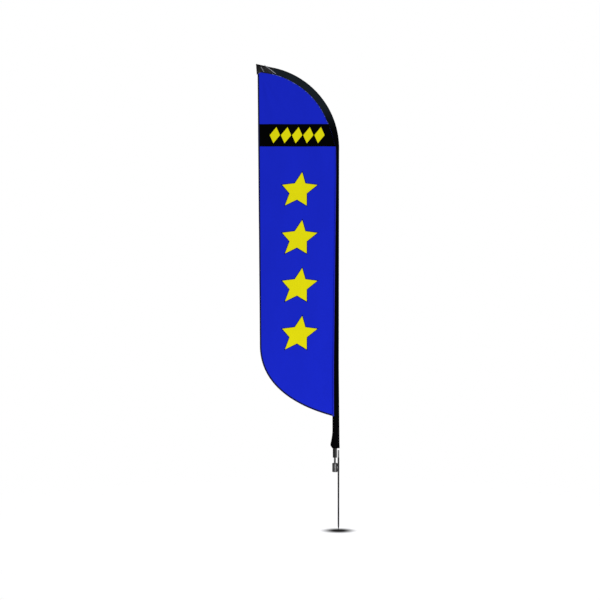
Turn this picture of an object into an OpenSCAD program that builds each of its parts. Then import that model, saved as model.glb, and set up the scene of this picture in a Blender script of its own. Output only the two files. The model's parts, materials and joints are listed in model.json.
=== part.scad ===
// Feather flag on a sectional pole, turning on a ground stake with a ball-bearing housing.
// Origin: where the stake's axis crosses the ground line. +Z is up, the flag flies towards -X.

/* [Stake] */
// Depth of the point below the ground line
ground_depth = 500; // [300:5:700]
// Height of the shank's shoulder above the ground line
shoulder_lift = 20; // [5:1:28]
// Diameter of the driven shank
shank_d = 15; // [8:0.5:15.5]
// Length of the tapered point
point_len = 35; // [30:1:90]
// Diameter of the rod beside the housing
rod_d = 16; // [15.5:0.5:18]
// Diameter of the struck top end
head_d = 14; // [8:0.5:15.5]
// Length of the struck top end
head_len = 68; // [40:1:90]
// Height of the struck top above the foot of the pole
head_rise = 69; // [30:1:90]

/* [Bearing housing] */
// Outer diameter of the bearing housing
housing_d = 48; // [43:1:60]
// Height of the bearing housing
housing_h = 82; // [66:1:110]
// Height of the housing's foot above the ground line
housing_lift = 31; // [30:1:60]
// Gap between housing and rod that the welds fill
weld_gap = 1; // [0.5:0.1:1.5]
// Height of each weld bead
weld_h = 24; // [10:1:28]
// Bore of each ball bearing
bearing_bore = 15; // [14:0.5:17]
// Outside diameter of each ball bearing
bearing_od = 35; // [33:0.5:38]
// Width of each ball bearing
bearing_w = 11; // [9:0.5:13]
// Diameter of the bearing balls
ball_d = 5.95; // [5:0.05:6.5]
// Number of balls in each bearing
ball_count = 8; // [6:1:9]

/* [Spindle] */
// Diameter of the spindle's neck and of the spigot inside the pole
spigot_d = 18; // [15.5:0.5:24]
// Length of bare neck between the housing and the pole
neck_len = 50; // [40:1:70]
// Length of spigot inside the pole
spigot_len = 190; // [150:1:260]
// Diameter of the spindle's threaded foot
thread_d = 12; // [10:1:12]
// Running clearance between the spigot and the pole's bushes, on the radius
spigot_gap = 0.08; // [0.02:0.01:0.1]

/* [Pole] */
// Outside diameter of the pole's base tube
base_d = 38; // [35:0.5:46]
// Wall of the lower three tubes
tube_wall = 2; // [1.5:0.1:2.3]
// Diameter of the solid tip rod
tip_rod_d = 14; // [10:0.5:17]
// Slack between one section and the next, on the radius
joint_gap = 0.6; // [0.6:0.05:0.8]
// Length of the base tube
base_len = 880; // [700:5:1100]
// Length of each section above the base tube
section_len = 870; // [720:5:1100]
// Length of each section that is plugged into the one below it
overlap = 90; // [60:1:108]
// Length of each joint ring
ring_len = 12; // [8:1:16]
// Length of a bush in the base tube
bush_len = 40; // [30:1:60]
// Lean of the pole above its base tube, in degrees, away from the flag
lean = 0.6; // [0:0.1:0.6]
// Straight length of the fourth tube, below the bend
bend_lead = 470; // [250:5:600]
// Radius of the bend in the pole's centre line
bend_r = 737; // [600:1:790]
// Angle of the bend, in degrees
bend_angle = 78; // [64:0.5:82]
// Length of the tip rod
tip_rod_len = 840; // [800:5:1020]

/* [Flag] */
// Thickness of the printed cloth
cloth_t = 0.8; // [0.5:0.1:2]
// Wall of the pole sleeve
sleeve_wall = 1; // [0.6:0.1:1.5]
// Room inside the sleeve round each pole section, on the radius
sleeve_room = 2; // [2:0.1:3]
// Width of the binding along the free edges
binding_w = 14; // [6:0.5:20]
// Height of the hem at the foot of the sleeve
hem_h = 22; // [15:1:24]
// Slack in the sleeve outside the pole's foot
foot_slack = 21.5; // [19:0.5:30]
// Slack in the sleeve outside the pole along the bend
bend_slack = 3.8; // [2:0.1:8]
// Gap between the stake's struck top and the foot of the sleeve
tail_gap = 16; // [5:1:24]
// Length of sleeve below the panel
tail_len = 295; // [200:5:380]
// Height of the curve at the foot of the panel
curve_h = 657; // [450:1:900]
// How far the free edge comes in between the tip pocket and the bottom curve
edge_taper = 21; // [0:1:60]
// How far the tip pocket's free edge slants in
pocket_slant = 15; // [10:1:30]
// Length of the reinforced pocket at the tip
pocket_len = 170; // [150:1:172]
// Height of the pocket along the panel's free edge
pocket_side = 100; // [90:1:120]

/* [Hidden] */
$fn = 64;

steel_colour = "dimgray";
bright_colour = "silver";
tube_colour = "#15161a";
cloth_colour = "#1625bc";
sleeve_colour = "#0b0c10";

// Levels along the stake's axis and along the spindle's axis
tip_z = -ground_depth;
shank_len = shoulder_lift - tip_z;
housing_top_z = housing_lift + housing_h;
pole_z = housing_top_z + neck_len;
rod_top_z = pole_z + head_rise;
spindle_x = -(housing_d / 2 + weld_gap + rod_d / 2);

// Inside the housing, measured up from the housing's foot
housing_chamfer = 4;
seat_lift = 20;
seat_lip = 2;
cap_h = 6;
nut_h = 8;
washer_h = 2;
thread_end_gap = 2.5;
seal_h = 6;
seal_room = 12.5;
circlip_h = 1.5;
spacer_len = housing_h - seat_lift - 2 * bearing_w - circlip_h - seal_room - seal_h - 1;
lower_bearing_z = housing_lift + seat_lift;
upper_bearing_z = lower_bearing_z + bearing_w + spacer_len;
bearing_top_z = upper_bearing_z + bearing_w;
circlip_groove = 1.3;
seal_gap = 0.05;
edge_round = 2;

// Ball bearing section
pitch_r = (bearing_bore + bearing_od) / 4;
race_gap = 0.05;
race_r = ball_d / 2 + race_gap;
groove_depth = 1;
inner_land_r = pitch_r - race_r + groove_depth;
outer_land_r = pitch_r + race_r - groove_depth;
cage_t = 2.4;
cage_h = 8.4;
cage_gap = 0.15;

// Pole sections: outside and inside diameters from the foot up
second_d = base_d - 2 * (tube_wall + joint_gap);
third_d = second_d - 2 * (tube_wall + joint_gap);
fourth_d = third_d - 2 * (tube_wall + joint_gap);
tip_socket_d = tip_rod_d + 2 * joint_gap;
section_d = [base_d, second_d, third_d, fourth_d, tip_rod_d];

// Path lengths of the section ends, measured up from the pole's foot
second_foot = base_len - overlap;
second_top = second_foot + section_len;
third_foot = second_top - overlap;
third_top = third_foot + section_len;
fourth_foot = third_top - overlap;
fourth_top = fourth_foot + section_len;
tip_rod_foot = fourth_top - overlap;
lean_start = base_len - overlap / 2;
ring_lift = 0.3;
step_gap = 0.7;
step_lift = ring_lift + ring_len + step_gap + sleeve_wall;

// Path of the pole's centre line, from its foot to the end of the tip pocket
tip_cap_gap = 24;
pocket_end_gap = 20;
tip_cap_wall = 1.5;
tip_cap_end = 4;
tip_cap_len = 34;
bend_start = fourth_foot + bend_lead;
bend_len = bend_r * bend_angle * PI / 180;
bend_end = bend_start + bend_len;
rod_end = tip_rod_foot + tip_rod_len;
path_end = rod_end + tip_cap_end + tip_cap_gap;
pocket_start = path_end - pocket_len;
pivot = [spindle_x, pole_z + lean_start];
bend_point = pivot + (bend_start - lean_start) * [sin(lean), cos(lean)];
bend_centre = bend_point + bend_r * [-cos(lean), sin(lean)];

// Sleeve edges: distance from the pole's centre line to the outer edge and to the seam
tail_lift = head_rise + tail_gap;
panel_lift = tail_lift + tail_len;
seam_at_base = base_d / 2 + sleeve_room + sleeve_wall;
seam_at_bend = fourth_d / 2 + sleeve_room + sleeve_wall + 1.5;
outer_at_bend = fourth_d / 2 + sleeve_room + sleeve_wall + bend_slack;
outer_offset = [[0, seam_at_base + foot_slack], [bend_start, outer_at_bend], [path_end, outer_at_bend]];
seam_offset = [
    [tail_lift, seam_at_base],
    [tail_lift + hem_h, seam_at_base + 15],
    [tail_lift + hem_h + 8, seam_at_base + 20],
    [tail_lift + hem_h + 54, seam_at_base + 10],
    [tail_lift + hem_h + 91, seam_at_base + 4],
    [tail_lift + hem_h + 128, seam_at_base],
    [base_len + step_lift, seam_at_base],
    [bend_start, seam_at_bend],
    [bend_start + 140, 34],
    [bend_start + 290, 49],
    [bend_start + 800, 49],
    [pocket_start, 44],
    [path_end, 44]
];

bend_steps = 26;
bend_step = bend_len / bend_steps;
// The curved sleeve narrows at the first bend step past the fourth joint ring
narrow_step = ceil((fourth_top + step_lift - bend_start) / bend_step);
narrow_start = bend_start + narrow_step * bend_step;
tail_stops = [for (k = [0 : 5]) seam_offset[k][0]];
straight_stops = concat(
    tail_stops,
    [panel_lift, lean_start, base_len + step_lift, second_top + step_lift, third_top + step_lift, bend_start]
);
bend_stops = [for (k = [1 : bend_steps]) bend_start + k * bend_step];
all_stops = concat(straight_stops, bend_stops, [pocket_start, path_end]);

function bend_angle_at(s) = (s - bend_start) / bend_r * 180 / PI;
function heading(s) =
    s < lean_start ? 0 :
    s < bend_start ? -lean :
    s < bend_end ? bend_angle_at(s) - lean :
    bend_angle - lean;

function line_at(s) =
    s < lean_start ? [spindle_x, pole_z + s] :
    s < bend_start ? pivot + (s - lean_start) * [sin(lean), cos(lean)] :
    s < bend_end ? bend_centre + bend_r * [cos(heading(s)), sin(heading(s))] :
    bend_centre + bend_r * [cos(heading(s)), sin(heading(s))]
        + (s - bend_end) * [-sin(heading(s)), cos(heading(s))];

function side_at(s, offset) = line_at(s) + offset * [cos(heading(s)), sin(heading(s))];
function outer_edge(s, inset = 0) = side_at(s, lookup(s, outer_offset) - inset);
function seam_edge(s, inset = 0) = side_at(s, -lookup(s, seam_offset) + inset);
function stops_between(low, high) =
    concat([low], [for (s = all_stops) if (s > low + 0.01 && s < high - 0.01) s], [high]);
function backwards(list) = [for (k = [len(list) - 1 : -1 : 0]) list[k]];
function strip_outline(stops, inset) = concat(
    [for (s = stops) outer_edge(s, inset)],
    [for (s = backwards(stops)) seam_edge(s, inset)]
);
function sleeve_t(section) = section_d[section] + 2 * (sleeve_room + sleeve_wall);

// Bottom edge of the flag: one cubic curve from the free edge down to the seam
free_edge_x = outer_edge(path_end)[0] + pocket_slant;
curve_end = seam_edge(panel_lift);
curve_top = [free_edge_x + edge_taper, curve_end[1] + curve_h];
curve_pull_top = curve_top - [0, 0.19 * curve_h];
curve_pull_end = curve_end + 0.97 * (curve_top[0] - curve_end[0]) * [1, -0.27];
curve_steps = 24;
function curve_at(t) =
    pow(1 - t, 3) * curve_top + 3 * pow(1 - t, 2) * t * curve_pull_top
        + 3 * (1 - t) * t * t * curve_pull_end + pow(t, 3) * curve_end;
function curve_slope(t) =
    3 * pow(1 - t, 2) * (curve_pull_top - curve_top)
        + 6 * (1 - t) * t * (curve_pull_end - curve_pull_top)
        + 3 * t * t * (curve_end - curve_pull_end);
function inward(t) = [-curve_slope(t)[1], curve_slope(t)[0]] / norm(curve_slope(t));
bottom_edge = [for (k = [0 : curve_steps]) curve_at(k / curve_steps)];
bottom_inset = concat(
    [for (k = [0 : curve_steps - 1]) curve_at(k / curve_steps) + binding_w * inward(k / curve_steps)],
    [seam_edge(panel_lift + binding_w)]
);

// Corner of the tip pocket on the free edge, and the point where its lower edge turns
binding_extra_t = 0.8;
pocket_sag = 5;
pocket_turn_gap = 62;
pocket_overhang = 8;
pocket_corner = [free_edge_x - pocket_overhang, outer_edge(path_end)[1] - pocket_side];
pocket_turn = seam_edge(path_end - pocket_turn_gap) - [0, pocket_sag];
function on_pocket_foot(x) =
    pocket_corner
        + (x - pocket_corner[0]) / (pocket_turn[0] - pocket_corner[0]) * (pocket_turn - pocket_corner);
free_edge_top = on_pocket_foot(free_edge_x);
binding_top = on_pocket_foot(free_edge_x + binding_w);

// Tension collar, inside the sleeve's tail
collar_lift = 110;
collar_h = 18;
collar_wall = 1.6;
hook_reach = 16;
hook_w = 8;
hook_t = 6;
nose_t = 4;
nose_h = 14;
strap_w = 20;
strap_t = 1.6;
strap_h = 150;
screw_d = 4;

module at_spindle(z) translate([spindle_x, 0, z]) children();

module on_lean(s) {
    translate([pivot[0], 0, pivot[1]])
        rotate([0, lean, 0])
            translate([0, 0, s - lean_start])
                children();
}

// A frame on the bend, at an angle counted from its start, with +Z along the pole
module on_bend(angle) {
    spot = bend_centre + bend_r * [cos(angle - lean), sin(angle - lean)];
    translate([spot[0], 0, spot[1]])
        rotate([0, lean - angle, 0])
            children();
}

module pipe(h, outer_d, inner_d) {
    difference() {
        cylinder(h = h, d = outer_d);
        translate([0, 0, -1])
            cylinder(h = h + 2, d = inner_d);
    }
}

// Pipe that follows the bend through an angle, onwards or backwards, from a frame on it
module bent_pipe(angle, outer_d, inner_d) {
    translate([-bend_r, 0, 0])
        rotate([90, 0, 0])
            rotate_extrude(angle = angle)
                translate([bend_r, 0])
                    difference() {
                        circle(d = outer_d);
                        if (inner_d > 0)
                            circle(d = inner_d);
                    }
}

module chamfered(h, d, chamfer) {
    rotate_extrude()
        polygon([
            [0, 0], [d / 2 - chamfer, 0], [d / 2, chamfer],
            [d / 2, h - chamfer], [d / 2 - chamfer, h], [0, h]
        ]);
}

module slab(outline, thickness) {
    rotate([90, 0, 0])
        linear_extrude(thickness, center = true)
            polygon(outline);
}

module stake_rod() {
    color(steel_colour) {
        translate([0, 0, tip_z])
            cylinder(h = point_len, d1 = 1.5, d2 = shank_d);
        translate([0, 0, tip_z + point_len])
            cylinder(h = shank_len - point_len, d = shank_d);
        translate([0, 0, shoulder_lift])
            cylinder(h = rod_top_z - head_len - shoulder_lift, d = rod_d);
        translate([0, 0, rod_top_z - head_len])
            cylinder(h = head_len - edge_round, d = head_d);
        translate([0, 0, rod_top_z - edge_round])
            cylinder(h = edge_round, d1 = head_d, d2 = head_d - edge_round);
    }
}

module bearing_housing() {
    color(steel_colour)
        at_spindle(housing_lift)
            difference() {
                chamfered(housing_h, housing_d, housing_chamfer);
                translate([0, 0, -1])
                    cylinder(h = housing_h, d = bearing_od - 2 * seat_lip);
                translate([0, 0, seat_lift])
                    cylinder(h = housing_h, d = bearing_od);
                translate([0, 0, bearing_top_z - housing_lift])
                    cylinder(h = circlip_h, d = bearing_od + 2 * circlip_groove);
            }
}

module weld_beads() {
    bead_d = 6;
    color("gray")
        for (z = [housing_lift + housing_chamfer + 1, housing_top_z - housing_chamfer - 1 - weld_h])
            for (side = [-1, 1])
                difference() {
                    translate([-rod_d / 2 - weld_gap / 2, side * 4.5, z])
                        cylinder(h = weld_h, d = bead_d);
                    translate([0, 0, z - 1])
                        cylinder(h = weld_h + 2, d = rod_d);
                    at_spindle(z - 1)
                        cylinder(h = weld_h + 2, d = housing_d);
                }
}

module housing_cap() {
    color(bright_colour)
        at_spindle(housing_lift)
            difference() {
                cylinder(h = cap_h, d = bearing_od - 2 * seat_lip);
                translate([0, 0, 2])
                    cylinder(h = cap_h, d = bearing_od - 2 * seat_lip - 5);
            }
}

module bearing_race(z, inner_r, outer_r) {
    color(bright_colour)
        at_spindle(z)
            rotate_extrude()
                difference() {
                    translate([inner_r, 0])
                        square([outer_r - inner_r, bearing_w]);
                    translate([pitch_r, bearing_w / 2])
                        circle(r = race_r);
                }
}

module outer_race(z) bearing_race(z, outer_land_r, bearing_od / 2);
module inner_race(z) bearing_race(z, bearing_bore / 2, inner_land_r);

module ball_set(z) {
    color("white")
        at_spindle(z + bearing_w / 2)
            for (k = [0 : ball_count - 1])
                rotate([0, 0, 360 / ball_count * k])
                    translate([pitch_r, 0, 0])
                        sphere(d = ball_d);
}

module ball_cage(z) {
    color("goldenrod")
        difference() {
            at_spindle(z + (bearing_w - cage_h) / 2)
                pipe(cage_h, 2 * pitch_r + cage_t, 2 * pitch_r - cage_t);
            at_spindle(z + bearing_w / 2)
                for (k = [0 : ball_count - 1])
                    rotate([0, 90, 360 / ball_count * k])
                        cylinder(h = 2 * pitch_r, d = ball_d + 2 * cage_gap);
        }
}

module lower_outer_ring() outer_race(lower_bearing_z);
module upper_outer_ring() outer_race(upper_bearing_z);
module lower_inner_ring() inner_race(lower_bearing_z);
module upper_inner_ring() inner_race(upper_bearing_z);
module lower_balls() ball_set(lower_bearing_z);
module upper_balls() ball_set(upper_bearing_z);
module lower_cage() ball_cage(lower_bearing_z);
module upper_cage() ball_cage(upper_bearing_z);

module outer_spacer() {
    color(bright_colour)
        at_spindle(lower_bearing_z + bearing_w)
            pipe(spacer_len, bearing_od, 2 * outer_land_r);
}

module inner_spacer() {
    color(bright_colour)
        at_spindle(lower_bearing_z + bearing_w)
            pipe(spacer_len, 2 * inner_land_r, bearing_bore);
}

module retaining_ring() {
    color("gray")
        at_spindle(bearing_top_z)
            rotate([0, 0, 20])
                rotate_extrude(angle = 320)
                    translate([bearing_od / 2 - 2.5, 0])
                        square([2.5 + circlip_groove, circlip_h]);
}

module dust_seal() {
    color("#202020")
        at_spindle(housing_top_z - seal_h - 1)
            pipe(seal_h, bearing_od, spigot_d + 2 * seal_gap);
}

module o_ring_groove(z) {
    at_spindle(z)
        rotate_extrude()
            translate([spigot_d / 2 - 1.7, -1])
                square([3, 2]);
}

module spindle_shaft() {
    thread_z = housing_lift + cap_h + thread_end_gap;
    collar_d = bearing_bore + 5;
    color(bright_colour)
        difference() {
            union() {
                at_spindle(thread_z)
                    cylinder(h = lower_bearing_z - thread_z, d = thread_d);
                at_spindle(lower_bearing_z)
                    cylinder(h = bearing_top_z - lower_bearing_z, d = bearing_bore);
                at_spindle(bearing_top_z)
                    cylinder(h = 3, d = collar_d);
                at_spindle(bearing_top_z + 3)
                    cylinder(h = pole_z + spigot_len - bearing_top_z - 5, d = spigot_d);
                at_spindle(pole_z + spigot_len - 2)
                    cylinder(h = 2, d1 = spigot_d, d2 = spigot_d - 4);
            }
            o_ring_groove(pole_z + bush_len / 2);
            o_ring_groove(pole_z + spigot_len - bush_len / 2);
        }
}

module spindle_washer() {
    color("gray")
        at_spindle(lower_bearing_z - washer_h)
            pipe(washer_h, thread_d * 1.6, thread_d);
}

module spindle_nut() {
    color("gray")
        at_spindle(lower_bearing_z - washer_h - nut_h)
            difference() {
                cylinder(h = nut_h, d = thread_d * 1.73, $fn = 6);
                translate([0, 0, -1])
                    cylinder(h = nut_h + 2, d = thread_d);
            }
}

module spigot_o_rings() {
    ring_r = 0.85;
    color("#202020")
        for (z = [pole_z + bush_len / 2, pole_z + spigot_len - bush_len / 2])
            at_spindle(z)
                rotate_extrude()
                    translate([spigot_d / 2 - ring_r, 0])
                        circle(r = ring_r);
}

module base_tube() {
    color(tube_colour)
        at_spindle(pole_z + 3)
            pipe(base_len - 3, base_d, base_d - 2 * tube_wall);
}

module foot_bush() {
    color("#26272b")
        at_spindle(pole_z)
            difference() {
                union() {
                    cylinder(h = 3, d = base_d);
                    cylinder(h = bush_len, d = base_d - 2 * tube_wall);
                }
                translate([0, 0, -1])
                    cylinder(h = bush_len + 2, d = spigot_d + 2 * spigot_gap);
            }
}

module stop_bush() {
    stop_h = 8;
    color("#26272b")
        at_spindle(pole_z + spigot_len - bush_len)
            difference() {
                cylinder(h = bush_len + stop_h, d = base_d - 2 * tube_wall);
                translate([0, 0, -1])
                    cylinder(h = bush_len + 1, d = spigot_d + 2 * spigot_gap);
            }
}

module second_tube() {
    color(tube_colour)
        on_lean(second_foot)
            pipe(section_len, second_d, second_d - 2 * tube_wall);
}

module third_tube() {
    color(tube_colour)
        on_lean(third_foot)
            pipe(section_len, third_d, third_d - 2 * tube_wall);
}

module fourth_tube() {
    straight_len = bend_start - fourth_foot;
    color(tube_colour)
        on_bend(0)
            union() {
                translate([0, 0, -straight_len])
                    pipe(straight_len, fourth_d, tip_socket_d);
                bent_pipe(bend_angle_at(fourth_top), fourth_d, tip_socket_d);
            }
}

module tip_rod() {
    color(tube_colour)
        on_bend(bend_angle)
            union() {
                cylinder(h = rod_end - bend_end, d = tip_rod_d);
                bent_pipe(bend_angle_at(tip_rod_foot) - bend_angle, tip_rod_d, 0);
            }
}

module base_joint_ring() {
    color(bright_colour)
        on_lean(base_len + ring_lift)
            pipe(ring_len, base_d, second_d);
}

module second_joint_ring() {
    color(bright_colour)
        on_lean(second_top + ring_lift)
            pipe(ring_len, second_d, third_d);
}

module third_joint_ring() {
    color(bright_colour)
        on_lean(third_top + ring_lift)
            pipe(ring_len, third_d, fourth_d);
}

module fourth_joint_ring() {
    ring_foot = fourth_top + ring_lift;
    color(bright_colour)
        on_bend(bend_angle_at(ring_foot))
            bent_pipe(bend_angle_at(ring_foot + ring_len) - bend_angle_at(ring_foot), fourth_d, tip_rod_d);
}

module tip_cap() {
    color("#202020")
        on_bend(bend_angle)
            translate([0, 0, rod_end + tip_cap_end - tip_cap_len - bend_end])
                difference() {
                    cylinder(h = tip_cap_len, d = tip_rod_d + 2 * tip_cap_wall);
                    translate([0, 0, -1])
                        cylinder(h = tip_cap_len - tip_cap_end + 1, d = tip_rod_d);
                }
}

module tension_collar() {
    color("#26272b")
        at_spindle(pole_z + collar_lift)
            difference() {
                union() {
                    cylinder(h = collar_h, d = base_d + 2 * collar_wall);
                    translate([0, -hook_w / 2, collar_h - hook_t])
                        cube([base_d / 2 + hook_reach, hook_w, hook_t]);
                    translate([base_d / 2 + hook_reach - nose_t, -hook_w / 2, collar_h - nose_h])
                        cube([nose_t, hook_w, nose_h]);
                }
                translate([0, 0, -1])
                    cylinder(h = collar_h + 2, d = base_d);
                translate([0, 0, collar_h / 2])
                    rotate([0, -90, 0])
                        cylinder(h = base_d, d = screw_d);
            }
}

module collar_screw() {
    color(bright_colour)
        at_spindle(pole_z + collar_lift + collar_h / 2)
            rotate([0, -90, 0])
                translate([0, 0, base_d / 2])
                    cylinder(h = collar_wall + 0.2, d = screw_d);
}

// A webbing loop that lies round the collar's hook and is sewn into the sleeve's tail
module tension_strap() {
    eye_x = base_d / 2 + collar_wall + 1;
    eye_w = hook_reach - collar_wall - nose_t - 2;
    eye_z = collar_h - hook_t - strap_t;
    color("#101114")
        at_spindle(pole_z + collar_lift + eye_z)
            translate([eye_x, 0, 0])
                difference() {
                    translate([0, -strap_w / 2, 0])
                        cube([eye_w, strap_w, strap_h]);
                    translate([-1, -strap_w / 2 + strap_t, strap_t])
                        cube([eye_w + 2, strap_w - 2 * strap_t, strap_h - 2 * strap_t]);
                }
}

module flag_panel() {
    seam_stops = stops_between(panel_lift + binding_w, pocket_start);
    color(cloth_colour)
        slab(
            concat(
                [for (s = seam_stops) seam_edge(s)],
                [pocket_turn, binding_top],
                [for (k = [0 : curve_steps - 1]) bottom_inset[k]]
            ),
            cloth_t
        );
}

module edge_binding() {
    color("#0d1238")
        slab(
            concat([free_edge_top], bottom_edge, backwards(bottom_inset), [binding_top]),
            cloth_t + binding_extra_t
        );
}

// A sleeve from the first border to the last, flat outside and hollow, open at both ends.
// It gets thinner at each border between, where a wall closes the step above a joint ring.
module sleeve_run(borders, thicknesses) {
    last = len(thicknesses) - 1;
    difference() {
        for (k = [0 : last])
            slab(strip_outline(stops_between(borders[k], borders[k + 1]), 0), thicknesses[k]);
        for (k = [0 : last]) {
            hollow_from = k == 0 ? borders[0] - 1 : borders[k] - sleeve_wall - 1;
            hollow_to = k == last ? borders[k + 1] + 1 : borders[k + 1] - sleeve_wall;
            slab(
                strip_outline(stops_between(hollow_from, hollow_to), sleeve_wall),
                thicknesses[k] - 2 * sleeve_wall
            );
        }
    }
}

module straight_sleeve() {
    color(sleeve_colour)
        sleeve_run(
            [
                tail_lift + hem_h, base_len + step_lift, second_top + step_lift,
                third_top + step_lift, bend_start
            ],
            [sleeve_t(0), sleeve_t(1), sleeve_t(2), sleeve_t(3)]
        );
}

module curved_sleeve() {
    color(sleeve_colour)
        sleeve_run([bend_start, narrow_start, pocket_start], [sleeve_t(3), sleeve_t(4)]);
}

module tip_pocket() {
    color("#050507")
        difference() {
            slab(
                [
                    outer_edge(pocket_start), outer_edge(path_end), pocket_corner,
                    pocket_turn, seam_edge(pocket_start)
                ],
                sleeve_t(4)
            );
            slab(
                [
                    outer_edge(pocket_start - 1, sleeve_wall),
                    outer_edge(path_end - pocket_end_gap, sleeve_wall),
                    seam_edge(path_end - pocket_end_gap, 19),
                    seam_edge(pocket_start - 1, sleeve_wall)
                ],
                sleeve_t(4) - 2 * sleeve_wall
            );
        }
}

module sleeve_hem() {
    color("#050507")
        sleeve_run([tail_lift, tail_lift + hem_h], [sleeve_t(0)]);
}

stake_rod();
bearing_housing();
weld_beads();
housing_cap();
lower_outer_ring();
upper_outer_ring();
outer_spacer();
retaining_ring();
dust_seal();
lower_balls();
lower_cage();
upper_balls();
upper_cage();
spindle_shaft();
lower_inner_ring();
upper_inner_ring();
inner_spacer();
spindle_washer();
spindle_nut();
spigot_o_rings();
base_tube();
foot_bush();
stop_bush();
second_tube();
third_tube();
fourth_tube();
tip_rod();
base_joint_ring();
second_joint_ring();
third_joint_ring();
fourth_joint_ring();
tip_cap();
tension_collar();
collar_screw();
tension_strap();
flag_panel();
edge_binding();
straight_sleeve();
curved_sleeve();
tip_pocket();
sleeve_hem();
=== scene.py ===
# %% [markdown]
# # A feather flag that turns on its ground stake
# The pole, stake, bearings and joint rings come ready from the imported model, in one fixed frame:
# the origin is on the stake's axis at the ground line, +Z is up and the flag flies towards -X.
# Everything made here goes round those parts, in metres, and nothing needs fitting.

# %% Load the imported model
import json
import math

import bpy
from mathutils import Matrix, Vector, kdtree, noise
from mathutils.geometry import delaunay_2d_cdt


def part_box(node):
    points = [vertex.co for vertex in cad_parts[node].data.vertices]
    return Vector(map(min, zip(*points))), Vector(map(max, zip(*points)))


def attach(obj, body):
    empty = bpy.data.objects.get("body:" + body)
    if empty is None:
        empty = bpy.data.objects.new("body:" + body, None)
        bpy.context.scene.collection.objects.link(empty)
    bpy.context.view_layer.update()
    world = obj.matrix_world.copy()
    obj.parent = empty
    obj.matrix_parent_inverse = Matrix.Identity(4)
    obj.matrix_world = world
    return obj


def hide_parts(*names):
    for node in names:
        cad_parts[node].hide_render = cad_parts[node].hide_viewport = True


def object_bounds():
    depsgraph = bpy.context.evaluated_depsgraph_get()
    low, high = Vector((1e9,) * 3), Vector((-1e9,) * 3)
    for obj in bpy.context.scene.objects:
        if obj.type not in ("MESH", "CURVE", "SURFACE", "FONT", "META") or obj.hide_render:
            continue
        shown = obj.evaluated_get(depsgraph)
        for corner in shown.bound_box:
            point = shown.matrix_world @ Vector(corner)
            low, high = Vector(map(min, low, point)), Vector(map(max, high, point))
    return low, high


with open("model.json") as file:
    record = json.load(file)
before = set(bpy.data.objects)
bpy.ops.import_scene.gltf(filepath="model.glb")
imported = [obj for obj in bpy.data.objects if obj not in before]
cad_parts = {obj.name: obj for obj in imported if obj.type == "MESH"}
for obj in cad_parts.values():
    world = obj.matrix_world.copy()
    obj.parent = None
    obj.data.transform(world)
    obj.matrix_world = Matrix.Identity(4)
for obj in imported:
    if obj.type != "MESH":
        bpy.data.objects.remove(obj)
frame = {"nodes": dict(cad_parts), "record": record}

cad_low, cad_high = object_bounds()
scene = bpy.context.scene
print(len(frame["nodes"]), "parts, box", tuple(cad_low), tuple(cad_high))

# %% [markdown]
# ## Camera
# A thing four metres tall looks straight only from far off, so the camera stands fourteen metres
# away with a long lens, level, and faces the cloth square on.

# %% Camera
CAMERA_LENS = 91.8
CAMERA_PLACE = (-0.352, -14, 1.6045)
camera_data = bpy.data.cameras.new("camera")
camera_data.sensor_width = 36
camera_data.lens = CAMERA_LENS
camera = bpy.data.objects.new("camera", camera_data)
camera.location = CAMERA_PLACE
camera.rotation_euler = (math.radians(90), 0, 0)
scene.collection.objects.link(camera)
scene.camera = camera
scene.view_settings.view_transform = "Standard"
print("camera at", tuple(camera.location))

# %% [markdown]
# ## Studio
# Soft white light comes from all round, so the cloth keeps its printed colours. One large lamp
# stands beside the camera, and a weaker one behind lights the back. A small one stands low in front
# of the stake: its reflection is the bright line down the bearing housing and the foot of the pole.
# The background that the camera sees is plain white. The world is dimmer as a source of light, and
# dimmer still in reflections, so black tube and steel keep dark edges beside their bright line.

# %% World and lamps
WHITE = (1, 1, 1, 1)
LIGHT_FROM_WORLD = 0.62
LIGHT_IN_REFLECTIONS = 0.12
world = bpy.data.worlds.new("studio")
world.use_nodes = True
scene.world = world
world_nodes = world.node_tree.nodes
world_links = world.node_tree.links
soft = world_nodes["Background"]
soft.inputs["Color"].default_value = WHITE
soft.inputs["Strength"].default_value = LIGHT_FROM_WORLD
backdrop = world_nodes.new("ShaderNodeBackground")
backdrop.inputs["Color"].default_value = WHITE
seen = world_nodes.new("ShaderNodeLightPath")
choice = world_nodes.new("ShaderNodeMixShader")
dim = world_nodes.new("ShaderNodeBackground")
dim.inputs["Strength"].default_value = LIGHT_IN_REFLECTIONS
mirrored = world_nodes.new("ShaderNodeMixShader")
world_links.new(seen.outputs["Is Glossy Ray"], mirrored.inputs[0])
world_links.new(soft.outputs[0], mirrored.inputs[1])
world_links.new(dim.outputs[0], mirrored.inputs[2])
world_links.new(seen.outputs["Is Camera Ray"], choice.inputs[0])
world_links.new(mirrored.outputs[0], choice.inputs[1])
world_links.new(backdrop.outputs[0], choice.inputs[2])
world_links.new(choice.outputs[0], world_nodes["World Output"].inputs["Surface"])


def lamp(name, place, aim, width, height, power):
    """Stand a soft box at a place and turn it towards a point."""
    light = bpy.data.lights.new(name, "AREA")
    light.shape = "RECTANGLE"
    light.size = width
    light.size_y = height
    light.energy = power
    holder = bpy.data.objects.new(name, light)
    holder.location = place
    turn = (Vector(aim) - Vector(place)).to_track_quat("-Z", "Y")
    holder.rotation_euler = turn.to_euler()
    scene.collection.objects.link(holder)


flag_middle = (-0.35, 0, 1.7)
housing_middle = (-0.03, 0, 0.12)
lamp("key", (2.6, -8.5, 3.0), flag_middle, 3.2, 4.5, 300)
lamp("back", (-1.8, 8.5, 5.0), flag_middle, 2.5, 4, 140)
lamp("foot", (0.62, -1.9, -0.02), housing_middle, 1.3, 0.85, 6)
print(len(bpy.data.lights), "lamps")

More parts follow.
